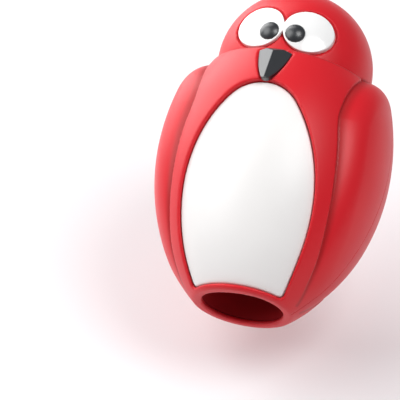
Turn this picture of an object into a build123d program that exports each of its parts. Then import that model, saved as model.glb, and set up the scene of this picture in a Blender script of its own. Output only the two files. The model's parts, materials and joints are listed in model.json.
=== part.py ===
from build123d import *
import math
import os

os.makedirs("parts", exist_ok=True)

# Millimetres. Z runs up the long axis from the flat base ring, -Y is the front, X is the width.

# Body and head, two bodies of revolution about Z
body_radius = 54.0
base_radius = 24.7
girth_height = 75.4
foot_arc = 70.0
foot_draw = 4.0  # how far the foot arc draws the base in
shoulder_arc = 100.0
neck_height = 123.0
head_radius = 39.3
head_height = 131.0
neck_round = 2.6
foot_round = 1.0
shell_wall = 2.5
base_thickness = 2.5
outlet_radius = 20.4
fit = 0.3  # gap between an inner moulding and the shell
screw_hole_spare = 0.5  # how much deeper a blind hole is than its screw

# Wings, leaf shaped pads that stand proud of the sides
wing_proud = 4.5
wing_girth_lift = 2.6
wing_lower_girth_arc = 112.3
wing_upper_girth_arc = 122.6
wing_top_height = 126.5
wing_widest_height = 82.0
wing_half_width = 37.4
wing_top_arc = 26.0
wing_lower_arc = 110.1
wing_tip_round = 3.5
wing_edge_round = 2.6
groove_width = 1.6
groove_depth = 1.2

# Belly button: white panel in a collar of the front shell, pressed straight back
button_travel = 6.0
panel_bottom = 3.0
panel_top = 101.5
panel_foot_half = 21.8
panel_half = 32.9
panel_widest_height = 46.0
panel_top_arc = 21.0
panel_corner = 3.0
panel_smallest_round = 0.2
panel_edge_round = 0.6
panel_lip_round = 0.8
panel_wall = 2.4
recess = 3.0
button_gap = 0.4
collar_wall = 1.6
collar_depth = 9.0
skirt_wall = 1.6
skirt_depth = 13.0
skirt_bottom = 26.0
tab_width = 8.0
tab_thickness = 2.0
tab_height = 50.0
stop_gap = 0.3

# Carriage behind the panel
carriage_front = 35.0
carriage_thickness = 2.0
carriage_bottom = 54.0
carriage_gap = 1.2
post_radius = 3.0
post_length = 20.0
fork_bottom = 50.0
fork_top = 60.0
slot_clearance = 0.5
post_spread = 18.0
post_low_height = 66.0
post_top_height = 78.0
slide_gap = 0.1
screw_boss_radius = 3.2
screw_radius = 1.5
screw_head_radius = 2.8
screw_head_height = 1.8
thread_bite = 4.0
carriage_screws_at = [(-26, 58), (26, 58), (-15, 82), (15, 82)]

# Return spring, round the middle post
spring_wire = 1.3
spring_radius = 5.8
spring_turns = 5

# Hopper: partition, funnel, throat
partition_front = 16.0
partition_wall = 2.0
socket_wall = 1.5
socket_front = 24.0
socket_end = 4.0
throat_width = 28.0
throat_back = 12.0
throat_bottom = 47.3
funnel_top = 81.0
funnel_wall = 2.4
hopper_screw_length = 8.0
hopper_screws_at = [(-41.5, 60), (41.5, 60), (-40, 98), (40, 98)]
hopper_boss_radius = 3.4

# Gate under the throat
gate_pivot_front = 25.0
gate_pivot_height = 46.0
gate_swing = 60.0
gate_lap = 2.0
gate_thickness = 2.0
gate_pin_radius = 1.5
pin_gap = 0.08
hub_radius = 3.0
crank_thickness = 3.0
crank_inner_half = 8.5
crank_pin_radius = 1.5
fork_gap = 0.15
fork_prong = 2.5
fork_half_width = 5.0
lug_radius = 4.0
lug_thickness = 3.0
lug_root = 10.0
lug_gap = 1.0
clip_thickness = 0.6
clip_radius = 3.2

# Outlet chute
chute_foot_radius = 21.0
chute_top_radius = 25.0
chute_wall = 1.6
chute_top = 44.0
chute_front = 14.0
ear_thickness = 2.0

# Screws that hold the shells together
shell_screw_radius = 1.5
shell_head_radius = 2.8
shell_head_height = 2.0
shell_boss_radius = 4.2
shell_bore_radius = 3.1
shell_screw_length = 17.0
shell_seat = 8.0
foot_screw = (33.0, 20.0)
head_screw = (22.0, 152.0)
foot_boss_front = 13.0
lip_wall = 0.9
lip_length = 1.5
lip_gap = 0.1

# Face
eye_spread = 12.2
eye_height = 136.4
eye_half_width = 12.3
eye_half_height = 11.6
eye_groove = 1.0
eye_pocket = 2.2
face_wall = 4.6
face_pad_margin = 2.0
eye_dome = 0.5
pupil_spread = 6.7
pupil_height = 133.4
pupil_radius = 4.9
pupil_rise = 2.0
stud_radius = 1.5
eye_stud = (14.0, 137.0)
eye_nut_seat = 28.5
beak_studs = (116.5, 109.0)
beak_nut_seat = 37.0
stud_past_nut = 1.2
nut_thickness = 0.8
nut_radius = 4.0
beak_nut_radius = 3.5
beak_half_width = 8.4
beak_brow_drop = 1.5
beak_side_arc = 48.0
beak_tip_half = 2.2
beak_tip_rise = 1.2
beak_top = 122.2
beak_tip = 101.0
beak_rise = 4.6
beak_fall = 5.0
beak_tip_fall = 1.0
beak_facet_drop = 3.2
beak_facet_slope = 0.6
beak_facet_overlap = 0.4
beak_gap = 0.5
beak_pocket = 1.2
beak_floor_drop = 2.0

# Filler door in the back
door_hinge_height = 84.0
door_height = 34.0
door_half_width = 20.0
door_gap = 0.4
door_corner = 6.0
hinge_radius = 2.2
hinge_pin_radius = 1.0
door_knuckle_half = 7.0
hinge_half = 12.0
notch_radius = 7.0
notch_shift = 5.2

# Derived places
same_place = 0.02  # two points closer than this count as one
crank_radius = button_travel / (2 * math.sin(math.radians(gate_swing / 2)))
crank_lift = crank_radius * math.cos(math.radians(gate_swing / 2))
crank_rest_front = gate_pivot_front + button_travel / 2
body_top = head_height + head_radius
deep = 2 * body_radius
front = Plane.XZ

# Tangent arcs of the body's profile, their centres as (radius, height)
flank_taper = body_radius - base_radius - foot_draw
girth_arc = (flank_taper**2 + girth_height**2) / (2 * flank_taper)
girth_centre = (body_radius - girth_arc, girth_height)
shoulder_centre = (body_radius - shoulder_arc, girth_height)
foot_span = math.hypot(base_radius - girth_centre[0], girth_height)
foot_slip = girth_arc - foot_arc
foot_turn = math.atan2(girth_height, base_radius - girth_centre[0]) - math.acos(
    (foot_span**2 + foot_slip**2 - foot_arc**2) / (2 * foot_slip * foot_span)
)
foot_centre = (
    girth_centre[0] + foot_slip * math.cos(foot_turn),
    girth_centre[1] - foot_slip * math.sin(foot_turn),
)


def girth(inset=0.0, back=0.0):
    """The body of revolution drawn in by inset and moved back along Y."""
    turn = math.degrees(foot_turn)
    foot_angle = math.degrees(math.asin(foot_centre[1] / (foot_arc - inset)))
    neck = neck_height - inset
    neck_angle = math.degrees(math.asin((neck - girth_height) / (shoulder_arc - inset)))
    chin_angle = math.degrees(math.asin((neck - head_height) / (head_radius - inset)))
    with BuildPart() as form:
        with BuildSketch(front.offset(-back)) as profile:
            with BuildLine():
                foot = CenterArc(foot_centre, foot_arc - inset, -foot_angle, foot_angle - turn)
                CenterArc(girth_centre, girth_arc - inset, -turn, turn)
                shoulder = CenterArc(shoulder_centre, shoulder_arc - inset, 0, neck_angle)
                head = CenterArc((0, head_height), head_radius - inset, chin_angle, 90 - chin_angle)
                Line(shoulder @ 1, head @ 0)
                Polyline(head @ 1, (0, 0), foot @ 0)
            make_face()
            if inset < foot_round:
                corners = profile.vertices().filter_by_position(Axis.X, base_radius / 2, deep)
                fillet(corners.sort_by(Axis.Y)[0], foot_round)
                fillet(corners.sort_by(lambda corner: abs(corner.Y - neck) - corner.X)[0], neck_round)
        revolve(axis=Axis((0, back, 0), (0, 0, 1)))
    return form.part


def wing_girth():
    """The larger body of revolution that the outer faces of the wings follow."""
    radius = body_radius + wing_proud
    height = girth_height + wing_girth_lift
    foot_angle = math.degrees(math.asin(height / wing_lower_girth_arc))
    top_angle = math.degrees(math.asin((wing_top_height + wing_proud - height) / wing_upper_girth_arc))
    with BuildPart() as form:
        with BuildSketch(front):
            with BuildLine():
                foot = CenterArc(
                    (radius - wing_lower_girth_arc, height), wing_lower_girth_arc, -foot_angle, foot_angle
                )
                top = CenterArc((radius - wing_upper_girth_arc, height), wing_upper_girth_arc, 0, top_angle)
                Polyline(top @ 1, (0, wing_top_height + wing_proud), (0, 0), foot @ 0)
            make_face()
        revolve(axis=Axis.Z)
    return form.part


def radius_at(height, inset=0.0):
    """Radius of the body at a height, drawn in by inset."""
    arcs = (
        (girth_height - girth_arc * math.sin(foot_turn), foot_centre, foot_arc),
        (girth_height, girth_centre, girth_arc),
        (neck_height - inset, shoulder_centre, shoulder_arc),
        (body_top, (0, head_height), head_radius),
    )
    centre, radius = next(arc[1:] for arc in arcs if height <= arc[0])
    return centre[0] + math.sqrt(max(0.0, (radius - inset) ** 2 - (height - centre[1]) ** 2))


def depth_at(x, height, inset=0.0):
    """Distance of the body's surface from the XZ plane."""
    return math.sqrt(max(0.0, radius_at(height, inset) ** 2 - x**2))


def flank(half, widest, top, top_arc, lower_arc, start, grow):
    """Right flank of a leaf, a lower arc, an upper arc and a top circle that run into each other."""
    rise = top - top_arc - widest
    upper_arc = (half**2 + rise**2 - top_arc**2) / (2 * (half - top_arc))
    turn = math.degrees(math.atan2(rise, upper_arc - half))
    foot = CenterArc((half - lower_arc, widest), lower_arc + grow, -start, start)
    CenterArc((half - upper_arc, widest), upper_arc + grow, 0, turn)
    CenterArc((0, widest + rise), top_arc + grow, turn, 90 - turn)
    return foot


def panel_outline(grow):
    """Outline of the belly panel in the XZ plane, grown by a margin."""
    taper = panel_half - panel_foot_half
    span = panel_widest_height - panel_bottom
    lower_arc = (taper**2 + span**2) / (2 * taper)
    start = math.degrees(math.asin((span + grow) / (lower_arc + grow)))
    with BuildSketch(front) as outline:
        with BuildLine():
            foot = flank(
                panel_half, panel_widest_height, panel_top, panel_top_arc, lower_arc, start, grow
            )
            Line(foot @ 0, (0, panel_bottom - grow))
            mirror(about=Plane.YZ)
        make_face()
        corners = outline.vertices().filter_by_position(Axis.X, -1, 1, inclusive=(False, False))
        low = outline.vertices().group_by(Axis.Y)[0]
        outer_low = [corner for corner in low if corner not in corners]
        fillet(outer_low, max(panel_corner + grow, panel_smallest_round))
    return outline.sketch_local


def wing_leaf(grow):
    """Outline of a wing seen from the side, in the YZ plane."""
    start = math.degrees(math.acos((wing_lower_arc - wing_half_width) / (wing_lower_arc + grow)))
    with BuildSketch(Plane.YZ) as leaf:
        with BuildLine():
            flank(
                wing_half_width,
                wing_widest_height,
                wing_top_height,
                wing_top_arc,
                wing_lower_arc,
                start,
                grow,
            )
            mirror(about=Plane.YZ)
        make_face()
        fillet(leaf.vertices().sort_by(Axis.Y)[0], wing_tip_round + grow)
    return leaf.sketch_local


def eye_outline(grow):
    """Two overlapping eye lobes in the XZ plane."""
    with BuildSketch(front) as lobes:
        for side in (-1, 1):
            with Locations((side * eye_spread, eye_height)):
                Ellipse(eye_half_width + grow, eye_half_height + grow)
    return lobes.sketch_local


def beak_outline(grow):
    """Shield outline of the beak in the XZ plane."""
    with BuildSketch(front) as shield:
        with BuildLine():
            Polyline(
                (beak_half_width, beak_top - beak_brow_drop),
                (0, beak_top),
                (-beak_half_width, beak_top - beak_brow_drop),
            )
            right = RadiusArc(
                (beak_half_width, beak_top - beak_brow_drop),
                (beak_tip_half, beak_tip + beak_tip_rise),
                beak_side_arc,
            )
            mirror(right, about=Plane.YZ)
            ThreePointArc(right @ 1, (0, beak_tip), (-beak_tip_half, beak_tip + beak_tip_rise))
        make_face()
        if grow:
            offset(amount=grow, kind=Kind.ARC)
    return shield.sketch_local


outer = girth()
core = girth(shell_wall / 2)
inner = girth(shell_wall)
lining = girth(shell_wall + fit)

# Wing pads, solid from the side inwards
with BuildPart() as wings:
    with BuildSketch(Plane.YZ.offset(body_radius / 3)):
        add(wing_leaf(0))
    extrude(amount=body_radius)
    add(wing_girth(), mode=Mode.INTERSECT)
    fillet(wings.edges().filter_by_position(Axis.X, body_radius / 3 + 1, deep), wing_edge_round)
    mirror(about=Plane.YZ)

with BuildPart() as wing_grooves:
    with BuildSketch(Plane.YZ.offset(body_radius / 3)):
        add(wing_leaf(groove_width))
    extrude(amount=body_radius)
    mirror(about=Plane.YZ)
    add(outer, mode=Mode.INTERSECT)
    add(girth(groove_depth), mode=Mode.SUBTRACT)
    Box(deep, deep, 4 * foot_round, mode=Mode.SUBTRACT)

# Ring round the belly opening, and the column that the panel slides in
with BuildPart() as collar:
    with BuildSketch(front):
        add(panel_outline(button_gap + collar_wall))
    extrude(amount=deep)
    add(core, mode=Mode.INTERSECT)
    add(girth(back=collar_depth), mode=Mode.SUBTRACT)

with BuildPart() as button_column:
    with BuildSketch(front):
        add(panel_outline(button_gap))
    extrude(amount=deep)

# Thicker wall behind the eyes, and the pockets for the eyes and the beak
with BuildPart() as face_pad:
    with BuildSketch(front):
        add(eye_outline(eye_groove + face_pad_margin))
    extrude(amount=deep)
    with Locations((0, 0, head_height)):
        Sphere(head_radius - shell_wall / 2, mode=Mode.INTERSECT)
        Sphere(head_radius - face_wall, mode=Mode.SUBTRACT)

with BuildPart() as eye_recess:
    with BuildSketch(front):
        add(eye_outline(eye_groove))
    extrude(amount=deep)
    with Locations((0, 0, head_height)):
        Sphere(head_radius - eye_pocket, mode=Mode.SUBTRACT)

# The beak sits on a floor that leans with the chest
beak_floor_top = depth_at(beak_half_width, beak_top - beak_floor_drop) - beak_pocket
beak_floor_tip = depth_at(0, beak_tip) - beak_pocket
beak_lean = (beak_floor_tip - beak_floor_top) / (beak_top - beak_floor_drop - beak_tip)
beak_plane = Plane(
    origin=(0, -beak_floor_tip, beak_tip),
    x_dir=(1, 0, 0),
    z_dir=(0, -1, beak_lean),
)


def in_front_of_floor(sink):
    """A thick slab that stands on the beak's leaning floor, or as far behind it as sink."""
    with BuildPart() as slab:
        with BuildSketch(beak_plane.offset(-sink)):
            Rectangle(6 * beak_half_width, 4 * (beak_top - beak_tip))
        extrude(amount=deep / 4)
    return slab.part


with BuildPart() as beak_recess:
    with BuildSketch(front):
        add(beak_outline(beak_gap))
    extrude(amount=deep)
    add(in_front_of_floor(0), mode=Mode.INTERSECT)

with BuildPart() as beak_pad:
    with BuildSketch(front):
        add(beak_outline(beak_gap + shell_wall))
        with Locations((0, panel_top + button_gap + collar_wall)):
            Rectangle(deep, deep, align=(Align.CENTER, Align.MIN), mode=Mode.INTERSECT)
    extrude(amount=deep)
    add(in_front_of_floor(shell_wall), mode=Mode.INTERSECT)
    add(core, mode=Mode.INTERSECT)

# Places of the four screws that join the shells
shell_screws_at = [(side * x, z) for side in (-1, 1) for x, z in (foot_screw, head_screw)]
ear_half = ear_thickness / 2
nut_seat_radius = nut_radius + fit

with BuildPart() as outlet_bore:
    with BuildSketch(front):
        with BuildLine():
            rim = RadiusArc((outlet_radius + foot_round, 0), (outlet_radius, foot_round), foot_round)
            Polyline(rim @ 1, (outlet_radius, 2 * base_thickness), (0, 2 * base_thickness), (0, 0), rim @ 0)
        make_face()
    revolve(axis=Axis.Z)

with BuildPart() as cavity:
    add(inner)
    Box(4 * body_radius, 4 * body_radius, 2 * base_thickness, mode=Mode.SUBTRACT)
    add(outlet_bore.part)

# Body with its wings, before it is hollowed
with BuildPart() as blank:
    add(outer)
    add(wing_grooves.part, mode=Mode.SUBTRACT)
    add(wings.part)

# Bosses in front of the seam
with BuildPart() as front_bosses:
    with BuildSketch(front):
        with Locations([(side * head_screw[0], head_screw[1]) for side in (-1, 1)]):
            Circle(shell_boss_radius)
    extrude(amount=deep)
    with BuildSketch(front.offset(partition_front)):
        with Locations(hopper_screws_at):
            Circle(hopper_boss_radius)
    extrude(amount=deep)
    with BuildSketch(front.offset(eye_nut_seat)):
        with Locations([(side * eye_stud[0], eye_stud[1]) for side in (-1, 1)]):
            Circle(nut_seat_radius)
    extrude(amount=deep)
    with BuildSketch(front.offset(beak_nut_seat)):
        with Locations([(0, height) for height in beak_studs]):
            Circle(nut_seat_radius)
    extrude(amount=deep)
    with BuildSketch(front.offset(ear_half)):
        for side in (-1, 1):
            with Locations((side * foot_screw[0], foot_screw[1])):
                Circle(shell_boss_radius)
                Rectangle(
                    3 * shell_boss_radius,
                    shell_boss_radius,
                    align=(Align.MIN if side > 0 else Align.MAX, Align.CENTER),
                )
    extrude(amount=foot_boss_front - ear_half)
    add(core, mode=Mode.INTERSECT)

# Lip along the seam that lines the shells up
with BuildPart() as seam_lip:
    add(girth(shell_wall - lip_wall))
    add(inner, mode=Mode.SUBTRACT)
    with Locations((0, 0, base_thickness + lip_length)):
        Box(
            4 * body_radius,
            lip_length,
            2 * body_top,
            align=(Align.CENTER, Align.MAX, Align.MIN),
            mode=Mode.INTERSECT,
        )

with BuildPart() as seam_rebate:
    add(girth(shell_wall - lip_wall - lip_gap))
    add(inner, mode=Mode.SUBTRACT)
    with Locations((0, 0, base_thickness + lip_length - lip_gap)):
        Box(
            4 * body_radius,
            lip_length + lip_gap,
            2 * body_top,
            align=(Align.CENTER, Align.MAX, Align.MIN),
            mode=Mode.INTERSECT,
        )

front_half = Box(4 * body_radius, 4 * body_radius, 2 * body_top, align=(Align.CENTER, Align.MAX, Align.MIN))
rear_half = Box(4 * body_radius, 4 * body_radius, 2 * body_top, align=(Align.CENTER, Align.MIN, Align.MIN))

panel_rim = panel_outline(button_gap).faces()[0].outer_wire()


def on_panel_lip(edge):
    """Whether an edge lies where the panel's opening cuts the surface of the body."""
    middle = edge @ 0.5
    off_surface = abs(math.hypot(middle.X, middle.Y) - radius_at(middle.Z))
    return middle.Y < 0 and max(off_surface, panel_rim.distance_to(Vector(middle.X, middle.Z))) < same_place


with BuildPart() as front_shell:
    add(blank.part)
    add(front_half, mode=Mode.INTERSECT)
    add(cavity.part, mode=Mode.SUBTRACT)
    add(collar.part)
    add(front_bosses.part)
    add(face_pad.part)
    add(beak_pad.part)
    add(eye_recess.part, mode=Mode.SUBTRACT)
    add(beak_recess.part, mode=Mode.SUBTRACT)
    add(button_column.part, mode=Mode.SUBTRACT)
    fillet(front_shell.edges().filter_by(on_panel_lip), panel_lip_round)
    with BuildSketch(front):
        with Locations(shell_screws_at):
            Circle(shell_screw_radius)
    extrude(amount=shell_screw_length - shell_seat + screw_hole_spare, mode=Mode.SUBTRACT)
    with BuildSketch(front.offset(partition_front)):
        with Locations(hopper_screws_at):
            Circle(screw_radius)
    extrude(amount=hopper_screw_length - partition_wall + screw_hole_spare, mode=Mode.SUBTRACT)
    with BuildSketch(front):
        with Locations([(side * eye_stud[0], eye_stud[1]) for side in (-1, 1)]):
            Circle(stud_radius)
        with Locations([(0, height) for height in beak_studs]):
            Circle(stud_radius)
    extrude(amount=deep, mode=Mode.SUBTRACT)
    add(seam_rebate.part, mode=Mode.SUBTRACT)
front_shell.part.label = "front_shell"
export_step(front_shell.part, "parts/front_shell.step")

# Rear shell, with the screw towers and the filler opening
hinge_back = radius_at(door_hinge_height) - hinge_radius
slot_end = math.sqrt(radius_at(door_hinge_height) ** 2 - hinge_back**2) + fit
hinge_line = Plane(origin=(0, hinge_back, door_hinge_height), x_dir=(0, 1, 0), z_dir=(1, 0, 0))


def door_drum(gap):
    """Round-edged drum about the hinge line, the space that the door sweeps."""
    with BuildPart() as drum:
        with BuildSketch(hinge_line):
            Circle(door_height + gap)
        extrude(amount=door_half_width + gap, both=True)
        fillet(drum.edges().filter_by(GeomType.CIRCLE), door_corner)
        with Locations((0, hinge_back, door_hinge_height - gap)):
            Box(deep, deep, deep, align=(Align.CENTER, Align.CENTER, Align.MIN), mode=Mode.INTERSECT)
    return drum.part


def hinge_bar(radius, x_from, x_to):
    """A round bar on the hinge line."""
    with BuildPart() as bar:
        with BuildSketch(hinge_line.offset(x_from)):
            Circle(radius)
        extrude(amount=x_to - x_from)
    return bar.part


door_edge = door_half_width + door_gap
hinge_relief = hinge_radius + fit
door_opening = door_drum(door_gap)

with BuildPart() as hinge_slot:
    with BuildSketch(hinge_line.offset(-slot_end)):
        Circle(hinge_relief)
        Rectangle(deep, 2 * hinge_relief, align=(Align.MIN, Align.CENTER))
    extrude(amount=2 * slot_end)

with BuildPart() as shell_knuckles:
    for x_from, x_to in (
        (-hinge_half, -door_knuckle_half - fit),
        (door_knuckle_half + fit, hinge_half),
    ):
        with BuildSketch(hinge_line.offset(x_from)):
            Circle(hinge_radius)
            with Locations((-hinge_radius / 2, -hinge_radius)):
                Rectangle(hinge_radius, 2 * hinge_radius)
        extrude(amount=x_to - x_from)
    add(inner, mode=Mode.SUBTRACT)
    add(hinge_bar(hinge_pin_radius, -deep, deep), mode=Mode.SUBTRACT)

with BuildPart() as rear_towers:
    with BuildSketch(front):
        with Locations([(side * head_screw[0], head_screw[1]) for side in (-1, 1)]):
            Circle(shell_boss_radius)
    extrude(amount=-deep)
    with BuildSketch(front.offset(-ear_half)):
        with Locations([(side * foot_screw[0], foot_screw[1]) for side in (-1, 1)]):
            Circle(shell_boss_radius)
    extrude(amount=-deep)
    add(core, mode=Mode.INTERSECT)

with BuildPart() as rear_shell:
    add(blank.part)
    add(rear_half, mode=Mode.INTERSECT)
    add(cavity.part, mode=Mode.SUBTRACT)
    add(rear_towers.part)
    with BuildSketch(front):
        with Locations(shell_screws_at):
            Circle(shell_screw_radius + slide_gap)
    extrude(amount=-deep, mode=Mode.SUBTRACT)
    with BuildSketch(front.offset(-shell_seat)):
        with Locations(shell_screws_at):
            Circle(shell_bore_radius)
    extrude(amount=-deep, mode=Mode.SUBTRACT)
    add(door_opening, mode=Mode.SUBTRACT)
    add(hinge_slot.part, mode=Mode.SUBTRACT)
    notch_height = door_hinge_height + door_height + door_gap
    with Locations((0, radius_at(notch_height) + notch_shift, notch_height)):
        Sphere(notch_radius, mode=Mode.SUBTRACT)
    add(shell_knuckles.part)
    add(seam_lip.part)
rear_shell.part.label = "rear_shell"
export_step(rear_shell.part, "parts/rear_shell.step")

with BuildPart() as filler_door:
    add(blank.part)
    add(rear_half, mode=Mode.INTERSECT)
    add(inner, mode=Mode.SUBTRACT)
    add(door_drum(0), mode=Mode.INTERSECT)
    add(hinge_bar(hinge_relief, -hinge_half - fit, -door_knuckle_half), mode=Mode.SUBTRACT)
    add(hinge_bar(hinge_relief, door_knuckle_half, hinge_half + fit), mode=Mode.SUBTRACT)
    add(hinge_bar(hinge_radius, -door_knuckle_half, door_knuckle_half))
    add(hinge_bar(hinge_pin_radius + pin_gap, -door_edge, door_edge), mode=Mode.SUBTRACT)
filler_door.part.label = "filler_door"
export_step(filler_door.part, "parts/filler_door.step")

with BuildPart() as door_pin:
    add(hinge_bar(hinge_pin_radius, -hinge_half, hinge_half))
door_pin.part.label = "door_pin"
export_step(door_pin.part, "parts/door_pin.step")

# Belly button, the white panel with its skirt, stop tabs and screw bosses
with BuildPart() as panel_skirt:
    with BuildSketch(front):
        add(panel_outline(0))
        add(panel_outline(-skirt_wall), mode=Mode.SUBTRACT)
    extrude(amount=deep)
    add(girth(panel_wall / 2, back=recess), mode=Mode.INTERSECT)
    add(girth(back=skirt_depth), mode=Mode.SUBTRACT)
    Box(deep, 2 * deep, 2 * skirt_bottom, mode=Mode.SUBTRACT)

with BuildPart() as stop_tabs:
    tab_reach = button_gap + collar_wall + skirt_wall
    with BuildSketch(front):
        for side in (-1, 1):
            with Locations((side * (panel_half + button_gap + collar_wall - tab_reach / 2), tab_height)):
                Rectangle(tab_reach, tab_width)
        with Locations((0, panel_top + button_gap + collar_wall - tab_reach / 2)):
            Rectangle(tab_width, tab_reach)
    extrude(amount=deep)
    add(girth(back=collar_depth + stop_gap), mode=Mode.INTERSECT)
    add(girth(back=collar_depth + stop_gap + tab_thickness), mode=Mode.SUBTRACT)

with BuildPart() as panel_posts:
    with BuildSketch(front.offset(carriage_front)):
        with Locations(carriage_screws_at):
            Circle(screw_boss_radius)
    extrude(amount=deep)
    add(girth(panel_wall / 2, back=recess), mode=Mode.INTERSECT)


def on_panel_edge(edge):
    """Whether an edge borders the outer face of the panel."""
    middle = edge @ 0.5
    off_surface = abs(math.hypot(middle.X, middle.Y - recess) - radius_at(middle.Z))
    return off_surface < same_place and abs((edge @ 0).X) + abs((edge @ 1).X) > same_place


with BuildPart() as belly_button:
    with BuildSketch(front):
        add(panel_outline(0))
    extrude(amount=deep)
    add(girth(back=recess), mode=Mode.INTERSECT)
    add(girth(panel_wall, back=recess), mode=Mode.SUBTRACT)
    fillet(belly_button.edges().filter_by(on_panel_edge), panel_edge_round)
    add(panel_skirt.part)
    add(stop_tabs.part)
    add(panel_posts.part)
    with BuildSketch(front.offset(carriage_front)):
        with Locations(carriage_screws_at):
            Circle(screw_radius)
    extrude(amount=thread_bite + screw_hole_spare, mode=Mode.SUBTRACT)
belly_button.part.label = "belly_button"
export_step(belly_button.part, "parts/belly_button.step")

# Carriage that the panel is screwed to
carriage_back = carriage_front - carriage_thickness
crank_pin_height = gate_pivot_height + crank_lift
slot_half = crank_pin_radius + fork_gap
slot_top = gate_pivot_height + crank_radius + crank_pin_radius + slot_clearance
fork_back = crank_rest_front - slot_half - fork_prong
post_places = [(-post_spread, post_low_height), (post_spread, post_low_height), (0, post_top_height)]

with BuildPart() as button_carriage:
    with BuildSketch(front.offset(carriage_back)):
        add(panel_outline(-skirt_wall - carriage_gap))
        with Locations((0, carriage_bottom)):
            Rectangle(deep, deep, align=(Align.CENTER, Align.MIN), mode=Mode.INTERSECT)
        with Locations(carriage_screws_at):
            Circle(screw_radius + slide_gap, mode=Mode.SUBTRACT)
    extrude(amount=carriage_thickness)
    with BuildSketch(front.offset(carriage_back)):
        with Locations(post_places):
            Circle(post_radius)
    extrude(amount=-post_length)
    with BuildSketch(Plane.YZ):
        with Locations((-fork_back, fork_bottom)):
            Rectangle(
                2 * (fork_prong + slot_half),
                fork_top - fork_bottom,
                align=(Align.MAX, Align.MIN),
            )
        with Locations((-fork_back, carriage_bottom)):
            Rectangle(
                carriage_front - fork_back,
                fork_top - carriage_bottom,
                align=(Align.MAX, Align.MIN),
            )
        with Locations((-crank_rest_front, fork_bottom)):
            Rectangle(
                2 * slot_half,
                slot_top - fork_bottom,
                align=(Align.CENTER, Align.MIN),
                mode=Mode.SUBTRACT,
            )
    extrude(amount=fork_half_width, both=True)
button_carriage.part.label = "button_carriage"
export_step(button_carriage.part, "parts/button_carriage.step")

with BuildPart() as carriage_screws:
    with BuildSketch(front.offset(carriage_back - screw_head_height)):
        with Locations(carriage_screws_at):
            Circle(screw_head_radius)
    extrude(amount=screw_head_height)
    with BuildSketch(front.offset(carriage_back)):
        with Locations(carriage_screws_at):
            Circle(screw_radius)
    extrude(amount=carriage_thickness + thread_bite)
carriage_screws.part.label = "carriage_screws"
export_step(carriage_screws.part, "parts/carriage_screws.step")

# Return spring between the carriage and the partition
spring_length = carriage_back - partition_front - 2 * fit - spring_wire

with BuildPart() as button_spring:
    with BuildLine() as coil:
        Helix(
            pitch=spring_length / spring_turns,
            height=spring_length,
            radius=spring_radius,
            center=(0, -carriage_back + fit + spring_wire / 2, post_top_height),
            direction=(0, 1, 0),
        )
    with BuildSketch(Plane(origin=coil.line @ 0, z_dir=coil.line % 0)):
        RegularPolygon(spring_wire / 2, 8)
    sweep(path=coil.line, is_frenet=True)
button_spring.part.label = "button_spring"
export_step(button_spring.part, "parts/button_spring.step")

# Hopper: partition, funnel and throat, with guide sockets for the posts and lugs for the gate
chamber_front = -(partition_front - partition_wall)


def funnel_space(grow, front_grow):
    """Four-sided funnel from the throat up to the wall of the body."""
    throat_reach = throat_back - chamber_front + grow + front_grow
    with BuildPart() as space:
        with BuildSketch(Plane.XY.offset(throat_bottom)):
            with Locations((0, chamber_front - front_grow)):
                Rectangle(throat_width + 2 * grow, throat_reach, align=(Align.CENTER, Align.MIN))
        with BuildSketch(Plane.XY.offset(funnel_top)):
            with Locations((0, chamber_front - front_grow)):
                Rectangle(
                    2 * (body_radius + grow),
                    throat_reach + body_radius - throat_back,
                    align=(Align.CENTER, Align.MIN),
                )
        loft()
    return space.part


hub_half = throat_width / 2 + gate_lap
lug_inner = hub_half + lug_gap
lug_outer = lug_inner + lug_thickness
throat_hole = funnel_space(0, 0)

with BuildPart() as gate_lugs:
    for side in (-1, 1):
        with BuildSketch(Plane.YZ.offset(side * lug_inner)):
            with Locations((-gate_pivot_front, gate_pivot_height)):
                Circle(lug_radius)
            with Locations((-partition_front, throat_bottom)):
                Rectangle(1, lug_root, align=(Align.MAX, Align.MIN))
            make_hull()
        extrude(amount=side * lug_thickness)

with BuildPart() as treat_hopper:
    add(funnel_space(funnel_wall, partition_wall))
    add(throat_hole, mode=Mode.SUBTRACT)
    with BuildSketch(front.offset(-chamber_front)):
        with Locations((0, throat_bottom)):
            Rectangle(deep, body_top, align=(Align.CENTER, Align.MIN))
    extrude(amount=partition_wall)
    with BuildSketch(front.offset(socket_end)):
        with Locations(post_places):
            Circle(post_radius + slide_gap + socket_wall)
    extrude(amount=socket_front - socket_end)
    add(lining, mode=Mode.INTERSECT)
    add(gate_lugs.part)
    with BuildSketch(front.offset(socket_end + socket_wall)):
        with Locations(post_places):
            Circle(post_radius + slide_gap)
    extrude(amount=deep, mode=Mode.SUBTRACT)
    with BuildSketch(Plane.YZ):
        with Locations((-gate_pivot_front, gate_pivot_height)):
            Circle(gate_pin_radius)
    extrude(amount=deep, both=True, mode=Mode.SUBTRACT)
    with BuildSketch(front):
        with Locations(hopper_screws_at):
            Circle(screw_radius + slide_gap)
        with Locations([(side * head_screw[0], head_screw[1]) for side in (-1, 1)]):
            Circle(shell_boss_radius + fit)
    extrude(amount=deep, mode=Mode.SUBTRACT)
treat_hopper.part.label = "treat_hopper"
export_step(treat_hopper.part, "parts/treat_hopper.step")

with BuildPart() as hopper_screws:
    with BuildSketch(front.offset(-chamber_front)):
        with Locations(hopper_screws_at):
            Circle(screw_radius)
    extrude(amount=hopper_screw_length)
    with BuildSketch(front.offset(-chamber_front)):
        with Locations(hopper_screws_at):
            Circle(screw_head_radius)
    extrude(amount=-screw_head_height)
hopper_screws.part.label = "hopper_screws"
export_step(hopper_screws.part, "parts/hopper_screws.step")

# Gate: flap, hub and crank on one moulding
pivot = Plane(
    origin=(0, -gate_pivot_front, gate_pivot_height),
    x_dir=(0, 1, 0),
    z_dir=(1, 0, 0),
)
flap_reach = gate_pivot_front + throat_back + gate_lap

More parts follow.
